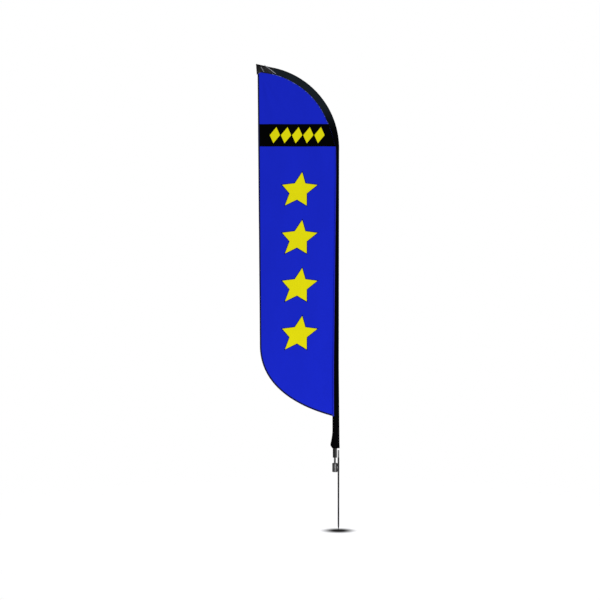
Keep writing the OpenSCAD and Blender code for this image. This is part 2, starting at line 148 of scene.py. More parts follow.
# %% [markdown]
# ## A small language for finishes
# A finish is worked out as ordinary arithmetic: `Value` stands for one number, colour or direction
# inside a material, and each operator on it adds one node. `Finish` holds the shader. What stays
# the same all over a piece is set on the shader itself, and what varies is linked into it.

# %% Values and finishes
class Value:
    """One number, colour or direction on its way through a material's nodes."""

    def __init__(self, finish, socket):
        self.finish = finish
        self.socket = socket

    def other(self, output):
        """Another output of the same node."""
        return Value(self.finish, self.socket.node.outputs[output])

    def maths(self, operation, *others):
        return self.finish.add(
            "ShaderNodeMath", {"operation": operation}, dict(enumerate((self,) + others))
        )

    def from_left(self, operation, first):
        return self.finish.add("ShaderNodeMath", {"operation": operation}, {0: first, 1: self})

    def __add__(self, other):
        return self.maths("ADD", other)

    def __sub__(self, other):
        return self.maths("SUBTRACT", other)

    def __mul__(self, other):
        return self.maths("MULTIPLY", other)

    def __truediv__(self, other):
        return self.maths("DIVIDE", other)

    def __radd__(self, first):
        return self.from_left("ADD", first)

    def __rsub__(self, first):
        return self.from_left("SUBTRACT", first)

    def __rmul__(self, first):
        return self.from_left("MULTIPLY", first)

    def __abs__(self):
        return self.maths("ABSOLUTE")

    def __lt__(self, other):
        return self.maths("LESS_THAN", other)

    def __gt__(self, other):
        return self.maths("GREATER_THAN", other)


class Finish:
    """One material, built on the Principled shader."""

    def __init__(self, name, **constants):
        self.material = bpy.data.materials.new(name)
        self.material.use_nodes = True
        self.tree = self.material.node_tree
        self.shader = self.tree.nodes["Principled BSDF"]
        self.place = self.add("ShaderNodeTexCoord", {}, {}, "Object")
        spot = self.add("ShaderNodeSeparateXYZ", {}, {0: self.place})
        self.x, self.y, self.z = spot, spot.other(1), spot.other(2)
        for name, value in constants.items():
            self.shader.inputs[name.replace("_", " ")].default_value = value

    def add(self, kind, settings, inputs, output=0):
        """Add a node: its settings first, then the values or links of its sockets."""
        node = self.tree.nodes.new(kind)
        for name, value in settings.items():
            if name == "stops":
                ramp = node.color_ramp
                for stop, (position, colour) in enumerate(value):
                    if stop > 1:
                        ramp.elements.new(position)
                    ramp.elements[stop].position = position
                    ramp.elements[stop].color = colour
            else:
                setattr(node, name, value)
        for name, value in inputs.items():
            if isinstance(value, Value):
                self.tree.links.new(value.socket, node.inputs[name])
            else:
                node.inputs[name].default_value = value
        return Value(self, node.outputs[output])

    def stretched(self, x, y, z):
        """Object coordinates, squeezed so that a pattern runs long one way."""
        return self.add("ShaderNodeMapping", {}, {"Vector": self.place, "Scale": (x, y, z)})

    def cloudy(self, scale, detail=3.0, where=None, roughness=0.5):
        """Soft noise from 0 to 1, about its own middle."""
        inputs = {"Vector": where or self.place, "Scale": scale, "Detail": detail}
        return self.add("ShaderNodeTexNoise", {}, inputs | {"Roughness": roughness})

    def cells(self, scale, output="Color"):
        return self.add("ShaderNodeTexVoronoi", {}, {"Vector": self.place, "Scale": scale}, output)

    def blend(self, mask, below, above):
        """One colour below, another above, by a mask."""
        return self.add("ShaderNodeMix", {"data_type": "RGBA"}, {0: mask, 6: below, 7: above}, 2)

    def between(self, mask, low, high):
        """A number that goes from low to high as the mask goes from 0 to 1."""
        return self.add("ShaderNodeMapRange", {}, {"Value": mask, "To Min": low, "To Max": high})

    def fade(self, value, start, end):
        """0 before start, 1 after end, smooth between them."""
        return self.add(
            "ShaderNodeMapRange",
            {"interpolation_type": "SMOOTHSTEP"},
            {"Value": value, "From Min": start, "From Max": end},
        )

    def reach(self, across, up):
        """How far a point is from the place where both distances are 0."""
        return (across * across + up * up).maths("SQRT")

    def bump(self, height, distance):
        return self.add("ShaderNodeBump", {}, {"Height": height, "Distance": distance})

    def set(self, **inputs):
        """Link what varies over the surface into the shader."""
        for name, value in inputs.items():
            self.tree.links.new(value.socket, self.shader.inputs[name.replace("_", " ")])


def shade(red, green, blue):
    """A colour as a socket takes it."""
    return (red, green, blue, 1)


def grey(level):
    return shade(level, level, level * 1.02)


print("finishes can be mixed")

# %% [markdown]
# ## Metals
# Hot-dip zinc dries in flat crystals of slightly different greys, so the stake and housing get a
# cell pattern with scratches over it. The rod is given a darker colour than the housing, and the
# end of it that the hammer strikes has lost its dull skin. Turned parts carry fine rings round
# their axis, which are noise squeezed along Z.

# %% Galvanised steel
rod_low, rod_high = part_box("stake_rod")
ROD_REACH = 0.0085
STRUCK_LEN = 0.068
struck_z = rod_high.z - STRUCK_LEN


def galvanised_steel():
    finish = Finish("galvanised_steel", Metallic=0.85)
    spangle = finish.cells(110)
    crystal = finish.add("ShaderNodeSeparateColor", {}, {0: spangle})
    dull = finish.cloudy(34, 5)
    scratch = finish.cloudy(60, 4, finish.stretched(6, 6, 0.35)) > 0.63
    plated = finish.blend(crystal * 0.6 + dull * 0.4, grey(0.13), grey(0.26))
    # The rod's colour is made darker than the housing's.
    on_rod = finish.reach(finish.x, finish.y) < ROD_REACH
    zinc = finish.blend(on_rod * 0.85, plated, grey(0.02))
    struck = finish.fade(finish.z, struck_z - 0.002, struck_z + 0.004) * on_rod
    wear_and_highlight = finish.blend(struck, zinc, grey(0.3))
    tip = 1 - finish.fade(finish.z, rod_low.z + 0.01, rod_low.z + 0.16)
    rubbed = finish.blend(tip * finish.cloudy(45, 6) + scratch * 0.25, wear_and_highlight, grey(0.3))
    finish.set(
        Base_Color=rubbed,
        Roughness=finish.between(dull + crystal * 0.3, 0.22, 0.36),
        Normal=finish.bump(dull + crystal * 0.4 - scratch * 0.5, 0.0002),
    )
    return finish.material


# %% Weld metal
def weld_metal():
    finish = Finish("weld_metal", Metallic=0.8)
    tint = finish.cloudy(90, 3)
    stops = [
        (0.3, shade(0.05, 0.05, 0.055)),
        (0.7, shade(0.16, 0.155, 0.15)),
        (0.55, shade(0.09, 0.085, 0.1)),
    ]
    colour = finish.add("ShaderNodeValToRGB", {"stops": stops}, {0: tint})
    finish.set(
        Base_Color=colour,
        Roughness=finish.between(tint, 0.32, 0.55),
        Normal=finish.bump(finish.cloudy(900, 2), 0.0001),
    )
    return finish.material


# %% Turned and rolled metals
def turned_metal(name, colour, rings, roughness, stain=0.12):
    finish = Finish(name, Metallic=1.0)
    lines = finish.cloudy(1, 2, finish.stretched(20, 20, rings))
    smear = finish.cloudy(42, 4)
    finish.set(
        Base_Color=finish.blend(
            smear * stain * 4 + lines * 0.2, shade(*colour), shade(*(c * 0.55 for c in colour))
        ),
        Roughness=finish.between(lines * 0.6 + smear * 0.4, roughness, roughness + 0.18),
        Normal=finish.bump(lines, 0.00008),
    )
    return finish.material


# %% [markdown]
# ## Tubes, plastics and rubber
# The lower tubes are drawn aluminium with a black coat: faint lines run along them, and a few
# scratches show where one tube slides into the next. The fourth tube and the tip rod are pultruded
# glass fibre, whose lengthwise fibres show under a thin gloss. Nylon and rubber only have grain.

# %% Black tube and composite rod
def drawn_black(name, colour, line_scale, roughness, coat):
    finish = Finish(name, Coat_Roughness=0.12, Specular_IOR_Level=0.55)
    lines = finish.cloudy(1, 3, finish.stretched(line_scale, line_scale, 2.5))
    scuff = finish.cloudy(20, 6, finish.stretched(8, 8, 0.7), 0.7)
    scratched = finish.fade(scuff, 0.62, 0.7) * 0.35
    finish.set(
        Base_Color=finish.blend(scratched + lines * 0.15, grey(colour), grey(colour * 5 + 0.01)),
        Roughness=finish.between(lines + scratched, roughness, roughness + 0.14),
        Coat_Weight=finish.between(scuff, coat, coat * 0.5),
        Normal=finish.bump(lines - scratched, 0.0001),
    )
    return finish.material


def grained(name, colour, scale, roughness, depth):
    """Moulded plastic or rubber: a fine grain, a little dust and uneven gloss."""
    finish = Finish(name, Specular_IOR_Level=0.4)
    grain = finish.cloudy(scale, 2)
    dust = finish.cloudy(36, 5)
    finish.set(
        Base_Color=finish.blend(finish.fade(dust, 0.5, 0.8) * 0.4, grey(colour), grey(0.09)),
        Roughness=finish.between(grain * 0.5 + dust * 0.5, roughness, roughness + 0.2),
        Normal=finish.bump(grain, depth),
    )
    return finish.material


print("metal and plastic finishes written")

# %% [markdown]
# ## Cloth
# All the cloths are thread, so each has a grain of crossed waves, uneven dye and very little gloss.
# The flag is printed through: blue, with a dark band near the top, a row of slanted lozenges on it,
# and four slanted stars down the middle. The print is worked out from X and Z, so it is the same on
# both sides and on every strip of the same cloth.

# %% Weave
FULL_TURN = 2 * math.pi


def weave(finish, across, up, pitch):
    """Crossed threads as a height from 0 to 1."""
    warp = (across * (FULL_TURN / pitch)).maths("SINE")
    weft = (up * (FULL_TURN / pitch)).maths("SINE")
    return warp * weft * 0.5 + 0.5


def dyed(finish, colour, depth=0.12):
    """Cloth takes dye unevenly, in soft clouds."""
    clouds = finish.cloudy(6, 4, finish.stretched(1, 1, 0.6)) * depth
    inputs = {0: colour, "Scale": clouds + (1 - depth / 2)}
    return finish.add("ShaderNodeVectorMath", {"operation": "SCALE"}, inputs)


# %% The stars
SLANT = 0.19
STAR_FOOT_Z = 1.289
STAR_STEP = 0.439
STAR_X = -0.364
STAR_R = 0.168
NOTCH_R = 0.082
OUTLINE = 0.006


def star_distance(finish):
    """How far outside the nearest star's edge a point is, and negative within it."""
    row = ((finish.z - STAR_FOOT_Z) / STAR_STEP + 0.5).maths("FLOOR")
    row = row.maths("MAXIMUM", 0).maths("MINIMUM", 3)
    up = finish.z - STAR_FOOT_Z - row * STAR_STEP
    across = finish.x - STAR_X - up * SLANT
    fifth = FULL_TURN / 5
    turn = across.maths("ARCTAN2", up) / fifth + 0.5
    folded = abs(turn.maths("FRACT") - 0.5) * fifth
    reach = finish.reach(across, up)
    edge_x = NOTCH_R * math.cos(fifth / 2) - STAR_R
    edge_y = NOTCH_R * math.sin(fifth / 2)
    edge = math.hypot(edge_x, edge_y)
    along = reach * folded.maths("COSINE") - STAR_R
    aside = reach * folded.maths("SINE")
    return along * (edge_y / edge) - aside * (edge_x / edge)


# %% The band and its lozenges
BAND_LOW, BAND_HIGH = 3.009, 3.215
LOZENGE_Z = 3.113
LOZENGE_HALF_H = 0.074
LOZENGE_HALF_W = 0.047
LOZENGE_STEP = 0.102
LOZENGE_X = -0.582


def lozenge_mask(finish):
    up = finish.z - LOZENGE_Z
    straight_x = finish.x - up * SLANT
    column = ((straight_x - LOZENGE_X) / LOZENGE_STEP + 0.5).maths("FLOOR")
    column = column.maths("MAXIMUM", 0).maths("MINIMUM", 4)
    across = straight_x - LOZENGE_X - column * LOZENGE_STEP
    return abs(across) / LOZENGE_HALF_W + abs(up) / LOZENGE_HALF_H < 1


# %% Printed cloth
PRINT_BLUE = shade(0.0080, 0.0185, 0.503)
PRINT_YELLOW = shade(0.70, 0.655, 0.004)
PRINT_NAVY = shade(0.006, 0.008, 0.05)
PRINT_BLACK = shade(0.0008, 0.0008, 0.001)
PRINT_PITCH = 0.0018


def band_mask(finish):
    return (finish.z > BAND_LOW) * (finish.z < BAND_HIGH)


def printed_cloth():
    finish = Finish("printed_cloth", Specular_IOR_Level=0.02)
    in_band = band_mask(finish)
    colour = finish.blend(in_band, PRINT_BLUE, PRINT_BLACK)
    colour = finish.blend(in_band * lozenge_mask(finish), colour, PRINT_YELLOW)
    distance = star_distance(finish)
    colour = finish.blend(distance < OUTLINE, colour, PRINT_NAVY)
    colour = finish.blend(distance < 0, colour, PRINT_YELLOW)
    knit = weave(finish, finish.x, finish.z, PRINT_PITCH)
    creases = finish.cloudy(5, 3, finish.stretched(1.6, 1, 0.5))
    finish.set(
        Base_Color=dyed(finish, colour, 0.1),
        Roughness=finish.between(knit, 0.72, 0.9),
        Normal=finish.bump(knit * 0.12 + creases * 6, 0.001),
    )
    return finish.material


# %% Sleeve cloth, binding, pocket, webbing and thread
def sleeve_cloth():
    """Black woven cloth. Over the bend a painted sheen makes its colour a little lighter."""
    finish = Finish("sleeve_cloth", Specular_IOR_Level=0.02)
    threads = weave(finish, finish.x + finish.z, finish.z - finish.x, 0.0022)
    # Painted sheen: from the start of the bend upwards the cloth's colour is made lighter.
    stretched = finish.fade(finish.z, 3.14, 3.4)
    rub = finish.cloudy(30, 5)
    straight = finish.blend(rub, shade(0.0005, 0.0006, 0.001), shade(0.0015, 0.0017, 0.0022))
    # This lighter colour over the bend is the painted sheen.
    curved = finish.blend(rub, shade(0.006, 0.010, 0.013), shade(0.012, 0.016, 0.021))
    finish.set(
        Base_Color=dyed(finish, finish.blend(stretched, straight, curved), 0.2),
        Roughness=finish.between(threads * 0.5 + rub * 0.5, 0.5, 0.8),
        Normal=finish.bump(threads * 0.2 + rub * 1.5, 0.0008),
    )
    return finish.material


def selvage():
    """The lap's edge, with a painted highlight: a pale line laid on as colour."""
    finish = Finish("selvage", Specular_IOR_Level=0.02)
    # Painted highlight: a pale colour laid on in clouds along the lap's edge, paler round the bend
    # than below the band.
    highlight_clouds = finish.cloudy(55, 4)
    low = finish.blend(highlight_clouds, PRINT_BLUE, shade(0.09, 0.075, 0.5))
    wear_and_highlight = finish.fade(highlight_clouds, 0.44, 0.62)
    # The pale colour round the bend is the painted highlight.
    high = finish.blend(wear_and_highlight, shade(0.012, 0.02, 0.3), shade(0.2, 0.25, 0.5))
    colour = finish.blend(finish.z > BAND_HIGH, low, high)
    threads = weave(finish, finish.x, finish.z, PRINT_PITCH)
    finish.set(
        Base_Color=finish.blend(band_mask(finish), colour, PRINT_BLACK),
        Roughness=finish.between(highlight_clouds, 0.7, 0.9),
        Normal=finish.bump(threads, 0.0001),
    )
    return finish.material


def ribbed_cloth(name, dark, light, pitch, roughness, depth):
    """Tape and webbing: ribs across a narrow woven strip."""
    finish = Finish(name, Specular_IOR_Level=0.04)
    ribs = (finish.z * (FULL_TURN / pitch)).maths("SINE") * 0.5 + 0.5
    fuzz = finish.cloudy(400, 3)
    finish.set(
        Base_Color=finish.blend(ribs * 0.5 + fuzz * 0.5, shade(*dark), shade(*light)),
        Roughness=finish.between(fuzz, roughness, roughness + 0.15),
        Normal=finish.bump(ribs + fuzz * 0.4, depth),
    )
    return finish.material


def pocket_vinyl():
    finish = Finish("pocket_vinyl", Specular_IOR_Level=0.5, Coat_Roughness=0.1)
    leather = finish.cells(700, "Distance")
    creases = finish.cloudy(26, 4)
    finish.set(
        Base_Color=finish.blend(creases, shade(0.002, 0.002, 0.003), shade(0.007, 0.007, 0.009)),
        Roughness=finish.between(creases * 0.7 + leather * 0.3, 0.22, 0.45),
        Coat_Weight=finish.between(creases, 0.35, 0.1),
        Normal=finish.bump(leather * 0.15 + creases * 2, 0.001),
    )
    return finish.material


def thread(name, colour):
    finish = Finish(name, Specular_IOR_Level=0.3)
    twist = finish.cloudy(1800, 1)
    finish.set(
        Base_Color=finish.blend(twist, shade(*colour), shade(*(c * 0.6 for c in colour))),
        Roughness=finish.between(twist, 0.45, 0.7),
        Normal=finish.bump(twist, 0.0001),
    )
    return finish.material


print("cloth finishes written")

# %% [markdown]
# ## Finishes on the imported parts
# The record says which material slot each part has. One finish is made for each slot and put on
# every part that names it.

# %% Make the finishes and put them on
finishes = {
    "galvanised_steel": galvanised_steel(),
    "weld_metal": weld_metal(),
    "plated_steel": turned_metal("plated_steel", (0.3, 0.305, 0.31), 700, 0.22),
    "bearing_steel": turned_metal("bearing_steel", (0.63, 0.63, 0.64), 250, 0.1, 0.04),
    "brass_cage": turned_metal("brass_cage", (0.72, 0.52, 0.2), 300, 0.25),
    "ring_aluminium": turned_metal("ring_aluminium", (0.62, 0.62, 0.63), 900, 0.3),
    "black_rubber": grained("black_rubber", 0.014, 500, 0.6, 0.00015),
    "black_nylon": grained("black_nylon", 0.02, 900, 0.42, 0.0001),
    "black_tube": drawn_black("black_tube", 0.0025, 260, 0.27, 0.1),
    "black_composite": drawn_black("black_composite", 0.004, 900, 0.18, 0.6),
    "printed_cloth": printed_cloth(),
    "selvage": selvage(),
    "binding_tape": ribbed_cloth(
        "binding_tape", (0.004, 0.005, 0.035), (0.01, 0.012, 0.07), 0.003, 0.7, 0.0002
    ),
    "sleeve_cloth": sleeve_cloth(),
    "pocket_vinyl": pocket_vinyl(),
    "webbing": ribbed_cloth(
        "webbing", (0.004, 0.004, 0.005), (0.02, 0.02, 0.022), 0.002, 0.6, 0.0003
    ),
}
light_thread = thread("light_thread", (0.5, 0.52, 0.56))
blue_thread = thread("blue_thread", (0.03, 0.04, 0.42))
dark_thread = thread("dark_thread", (0.008, 0.009, 0.02))

for part in frame["record"]["subparts"]:
    for slot in frame["nodes"][part["node"]].material_slots:
        slot.material = finishes[part["material_slot"]]
print(len(finishes), "finishes on", len(frame["nodes"]), "parts")

# %% [markdown]
# ## The pole's line
# Every cloth piece follows the pole: straight up out of its foot, leaning a little above the base
# tube, then round one bend and out straight to the tip. Places on the flag are given as a length
# along that line and a distance to one side of it, as a sail maker would measure them.

# %% The centre line
foot_low, foot_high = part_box("foot_bush")
spindle_x = (foot_low.x + foot_high.x) / 2
pole_z = foot_low.z
LEAN = math.radians(0.6)
LEAN_START = 0.835
BEND_START = 2.82
BEND_R = 0.737
BEND_END = BEND_START + BEND_R * math.radians(78)
POCKET_START = 3.828
PATH_END = 3.998
pivot = Vector((spindle_x, pole_z + LEAN_START))
bend_point = pivot + (BEND_START - LEAN_START) * Vector((math.sin(LEAN), math.cos(LEAN)))
bend_centre = bend_point + BEND_R * Vector((-math.cos(LEAN), math.sin(LEAN)))


def heading(length):
    """How far the pole has turned from upright towards the flag."""
    if length < LEAN_START:
        return 0.0
    if length < BEND_START:
        return -LEAN
    return (min(length, BEND_END) - BEND_START) / BEND_R - LEAN


def outward(length):
    """The direction square to the pole, away from the flag, as X and Z."""
    return Vector((math.cos(heading(length)), math.sin(heading(length))))


def line_at(length):
    if length < LEAN_START:
        return Vector((spindle_x, pole_z + length))
    if length < BEND_START:
        return pivot + (length - LEAN_START) * Vector((math.sin(LEAN), math.cos(LEAN)))
    spot = bend_centre + BEND_R * outward(length)
    past = max(length - BEND_END, 0)
    return spot + past * Vector((-math.sin(heading(length)), math.cos(heading(length))))


def between(length, stops):
    """Read a number off a list of stops, in straight lines between them."""
    if length <= stops[0][0]:
        return stops[0][1]
    for (low, at_low), (high, at_high) in zip(stops, stops[1:]):
        if length <= high:
            return at_low + (at_high - at_low) * (length - low) / (high - low)
    return stops[-1][1]


print("line ends at", line_at(PATH_END))

# %% [markdown]
# ## Sleeve section
# A sleeve is a flat tube of cloth with a round pole in it, so its section is the tightest loop
# round three circles: the pole in the middle, and the two folds at the outer edge and at the seam.
# The loop is found by asking, for each direction, which circle reaches furthest that way. Offsets
# and radii are given at stops along the pole, as pairs of a length and a distance.

# %% Edges and radius of the sleeve
OUTER_OFFSET = [(0, 0.0435), (2.82, 0.018), (3.998, 0.018)]
SEAM_OFFSET = [
    (0.085, 0.022), (0.107, 0.037), (0.115, 0.042), (0.161, 0.032), (0.198, 0.026),
    (0.235, 0.022), (0.894, 0.022), (2.82, 0.0157), (2.96, 0.034), (3.11, 0.049),
    (3.62, 0.049), (3.828, 0.044), (3.998, 0.044),
]
SLEEVE_R = [
    (0.896, 0.0214), (0.93, 0.0188), (1.676, 0.0188), (1.71, 0.0162), (2.456, 0.0162),
    (2.49, 0.0136), (3.235, 0.0136), (3.27, 0.0096), (3.96, 0.0096), (3.998, 0.003),
]
FOLD_R = 0.0012
TAIL_FOOT = 0.085
HEM_TOP = 0.107
PANEL_FOOT = 0.38


def outer_edge(length):
    return line_at(length) + between(length, OUTER_OFFSET) * outward(length)


def seam_edge(length):
    return line_at(length) - between(length, SEAM_OFFSET) * outward(length)


def half_loop(length, room=0.0):
    """Half the sleeve's section, from the seam fold to the outer fold, with room to spare."""
    circles = [
        (0.0, between(length, SLEEVE_R) + room),
        (between(length, OUTER_OFFSET) - FOLD_R, FOLD_R + room),
        (FOLD_R - between(length, SEAM_OFFSET), FOLD_R + room),
    ]
    points = []
    for degrees in range(180, -1, -4):
        across, up = math.cos(math.radians(degrees)), math.sin(math.radians(degrees))
        middle, radius = max(circles, key=lambda c: c[0] * across + c[1])
        points.append(Vector((middle + radius * across, radius * up)))
    return points


def along_loop(points, distances):
    """Points on a line at given distances from its start."""
    found = []
    walked = 0.0
    step = 0
    for distance in distances:
        leg = (points[step + 1] - points[step]).length
        while step < len(points) - 2 and walked + leg < distance:
            walked += leg
            step += 1
            leg = (points[step + 1] - points[step]).length
        share = min(max((distance - walked) / (leg or 1e-9), 0), 1)
        found.append(points[step].lerp(points[step + 1], share))
    return found


def loop_length(points):
    return sum((b - a).length for a, b in zip(points, points[1:]))


def in_space(length, point):
    """A point of the section at that length, in the object's frame."""
    spot = line_at(length) + point.x * outward(length)
    return Vector((spot.x, point.y, spot.y))


print("sleeve is", round(2000 * loop_length(half_loop(0.5))), "mm round near its foot")

# %% [markdown]
# ## Joining points into cloth
# Cloth is laid out as rows of points and joined into a sheet. Solidify then gives it a thickness
# on both sides of those points, and smooth shading stops at sharp folds.

# %% Sheet helper
def piece_from(name, points, faces, finish, thickness=0.0, body="pole"):
    """Make a mesh piece, give cloth its thickness, smooth it, and let it ride."""
    mesh = bpy.data.meshes.new(name)
    mesh.from_pydata(points, [], faces)
    piece = bpy.data.objects.new(name, mesh)
    scene.collection.objects.link(piece)
    bpy.ops.object.select_all(action="DESELECT")
    piece.select_set(True)
    bpy.context.view_layer.objects.active = piece
    bpy.ops.object.mode_set(mode="EDIT")
    bpy.ops.mesh.select_all(action="SELECT")
    bpy.ops.mesh.normals_make_consistent(inside=False)
    bpy.ops.object.mode_set(mode="OBJECT")
    if thickness:
        wall = piece.modifiers.new("wall", "SOLIDIFY")
        wall.thickness = thickness
        wall.offset = 0
        bpy.ops.object.modifier_apply(modifier="wall")
    bpy.ops.object.shade_smooth_by_angle(angle=math.radians(50))
    mesh.materials.append(finish)
    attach(piece, body)
    print(name, len(mesh.polygons), "faces")
    return piece


def rows_to_faces(rows, columns, closed):
    """Four-sided faces between rows of points, and round each row if it is closed."""
    faces = []
    for row in range(rows - 1):
        for column in range(columns if closed else columns - 1):
            after = (column + 1) % columns
            low, high = row * columns, (row + 1) * columns
            faces.append((low + column, low + after, high + after, high + column))
    return faces


def stops_between(low, high, step):
    count = max(2, round((high - low) / step))
    return [low + (high - low) * k / count for k in range(count + 1)]


# %% [markdown]
# ## The pole sleeves
# Two lengths of black cloth hold the pole: a straight one up the side, which hangs down past the
# flag as a tail, and a stretchy one round the bend. Drag lines run slantwise where the strap pulls
# the straight one down. The curved one puckers across, because its inner edge is the shorter.

# %% Loft a sleeve
def sleeve(name, low, high, wrinkle, room=0.0, step=0.014, columns=44, thickness=0.0009):
    points = []
    lengths = stops_between(low, high, step)
    for length in lengths:
        half = half_loop(length, room)
        whole = loop_length(half)
        spread = [whole * k / (columns / 2) for k in range(columns // 2 + 1)]
        front = along_loop(half, spread)
        back = [Vector((p.x, -p.y)) for p in front[-2:0:-1]]
        for point in front + back:
            side = Vector((0, 1 if point.y >= 0 else -1))
            lift = wrinkle(length, point) if abs(point.y) > 2 * FOLD_R else 0.0
            points.append(in_space(length, point + lift * side))
    faces = rows_to_faces(len(lengths), columns, True)
    return piece_from(name, points, faces, finishes["sleeve_cloth"], thickness)


def drag_lines(length, point):
    """Slanting creases, strongest in the loose cloth away from the pole."""
    side = 1 if point.y > 0 else -1
    loose = min(1.0, abs(point.x) / 0.03)
    drift = 2 * noise.noise(Vector((length * 2, side, 0)))
    slant = math.sin(46 * length + 60 * point.x + side + drift)
    rough = noise.noise(Vector((length * 14, point.x * 40, side * 3)))
    return 0.0007 * loose * slant + 0.0006 * rough


def puckers(length, point):
    """Short creases across the sleeve, deepest at its inner side."""
    side = 1 if point.y > 0 else -1
    inner = min(1.0, max(0.0, 0.5 - point.x / 0.05))
    beat = math.sin(FULL_TURN * length / 0.055 + 3 * noise.noise(Vector((length * 5, side * 2, 0))))
    return 0.0008 * inner * beat + 0.0006 * noise.noise(Vector((length * 20, point.x * 60, side)))


SIDES = ((-1, "front"), (1, "back"))
TUCK = 0.01
SLEEVE_LAP = 0.012
straight_sleeve = sleeve("straight_sleeve_cloth", HEM_TOP - TUCK, BEND_START, drag_lines)
curved_sleeve = sleeve(
    "curved_sleeve_cloth", BEND_START - SLEEVE_LAP, POCKET_START + TUCK, puckers, 0.0004
)
tail_hem = sleeve(
    "tail_hem", TAIL_FOOT, HEM_TOP + 0.003, drag_lines, 0.0006, 0.004, thickness=0.0014
)
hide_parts("straight_sleeve")
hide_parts("curved_sleeve")
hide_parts("sleeve_hem")

# %% [markdown]
# ## The shape of the flag
# The panel's outline runs up the seam, along the under side of the tip pocket, down the free edge
# and back along the curved foot. The foot is one cubic curve, made from its ends and two pulls.

# %% Outline of the panel
FREE_EDGE_IN = 0.015
POCKET_OVERHANG = 0.008
POCKET_DROP = 0.1
TURN_BEFORE_END = 0.062
TURN_DROP = 0.005
FREE_EDGE_DRIFT = 0.021
CURVE_H = 0.657
PULL_DOWN = 0.19
PULL_BACK = 0.97
PULL_SLOPE = -0.27
tip_corner = outer_edge(PATH_END)
free_x = tip_corner.x + FREE_EDGE_IN
pocket_corner = Vector((free_x - POCKET_OVERHANG, tip_corner.y - POCKET_DROP))
pocket_turn = seam_edge(PATH_END - TURN_BEFORE_END) - Vector((0, TURN_DROP))
free_top = pocket_corner.lerp(
    pocket_turn, (free_x - pocket_corner.x) / (pocket_turn.x - pocket_corner.x)
)
curve_end = seam_edge(PANEL_FOOT)
curve_top = Vector((free_x + FREE_EDGE_DRIFT, curve_end.y + CURVE_H))
pull_top = curve_top - Vector((0, PULL_DOWN * CURVE_H))
pull_end = curve_end + PULL_BACK * (curve_top.x - curve_end.x) * Vector((1, PULL_SLOPE))


def foot_curve(share):
    rest = 1 - share
    return (
        rest**3 * curve_top
        + 3 * rest**2 * share * pull_top
        + 3 * rest * share**2 * pull_end
        + share**3 * curve_end
    )


def spread(start, end, step):
    """Points from start up to, and without, end."""
    count = max(1, round((end - start).length / step))
    return [start.lerp(end, k / count) for k in range(count)]


CLOTH_STEP = 0.012
seam_points = [seam_edge(length) for length in stops_between(PANEL_FOOT, POCKET_START, CLOTH_STEP)]
under_pocket = spread(seam_points[-1], pocket_turn, CLOTH_STEP)[1:] + spread(
    pocket_turn, free_top, CLOTH_STEP
)
free_edge = spread(free_top, curve_top, CLOTH_STEP)
FOOT_STEPS = 96
foot_edge = [foot_curve(k / FOOT_STEPS) for k in range(FOOT_STEPS + 1)]
outline = seam_points + under_pocket + free_edge + foot_edge[:-1]
print("panel outline has", len(outline), "points")

# %% [markdown]
# ## How the cloth hangs
# The seam holds the panel flat along the pole, and the rest moves a little in the air. Distance
# from the seam comes from a k-d tree of seam points. Broad billows fade in with that distance, fine
# puckers fade out, and drag folds fan down from the pocket, which takes the load of the tip.

# %% Billow
MOST_BILLOW = 0.021
held_points = seam_points + under_pocket
held_tree = kdtree.KDTree(len(held_points))
for number, point in enumerate(held_points):
    held_tree.insert((point.x, point.y, 0), number)
held_tree.balance()


def ease(share):
    share = min(max(share, 0.0), 1.0)
    return share * share * (3 - 2 * share)


def billow(x, z):
    """How far the cloth stands behind the plane of the pole, in metres."""
    _, number, away = held_tree.find((x, z, 0))
    broad = 0.010 * math.sin(FULL_TURN * (0.52 * z + 0.85 * x) + 0.4)
    hanging = 0.0055 * math.sin(FULL_TURN * 2.4 * x + 1.3 * math.sin(1.9 * z) + 0.8)
    flutter = 0.007 * math.sin(FULL_TURN * z / 0.62 + 2.2 * x) * ease(away / 0.55)
    from_tip = Vector((x, z)) - pocket_turn
    fan = 0.004 * math.sin(17 * math.atan2(from_tip.x, -from_tip.y))
    fan *= math.exp(-from_tip.length / 0.9)
    from_foot = Vector((x, z)) - curve_end
    corner = 0.0035 * math.sin(15 * math.atan2(from_foot.x, from_foot.y))
    corner *= math.exp(-from_foot.length / 0.55)
    loose = 0.003 * noise.noise(Vector((3.1 * x, 0, 2.1 * z)))
    pucker = 0.0013 * math.sin(FULL_TURN * number * CLOTH_STEP / 0.061) * math.exp(-away / 0.03)
    wide = broad + hanging + flutter + fan + corner + loose
    held_back = MOST_BILLOW * math.tanh(wide / MOST_BILLOW)
    return held_back * ease(away / 0.16) + pucker * ease(away / 0.012)


print("cloth stands", round(1000 * billow(-0.4, 1.8), 1), "mm back at its middle")

# %% Points inside an outline
ROW_SHARE = 0.87
EDGE_ROOM = 0.55


def points_inside(border, step):
    """A staggered grid of points within a closed outline, clear of its edge."""
    found = []
    low = min(p.y for p in border)
    high = max(p.y for p in border)
    pairs = list(zip(border, border[1:] + border[:1]))
    for row in range(1, int((high - low) / (step * ROW_SHARE))):
        level = low + row * step * ROW_SHARE
        shift = (row % 2) / 2
        crossings = sorted(
            a.x + (b.x - a.x) * (level - a.y) / (b.y - a.y)
            for a, b in pairs
            if (a.y > level) != (b.y > level)
        )
        for left, right in zip(crossings[::2], crossings[1::2]):
            first = math.ceil((left + EDGE_ROOM * step) / step - shift)
            last = math.floor((right - EDGE_ROOM * step) / step - shift)
            found += [Vector(((k + shift) * step, level)) for k in range(first, last + 1)]
    return found


def triangles_within(border, step):
    """Points and triangles that fill a closed outline evenly."""
    points = border + points_inside(border, step)
    found = delaunay_2d_cdt(points, [], [list(range(len(border)))], 1, 1e-6)
    return found[0], [tuple(face) for face in found[2]]


# %% [markdown]
# ## The printed panel
# The outline is filled with even triangles, so the cloth can bend any way, and each point is then
# moved by the billow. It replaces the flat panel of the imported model.

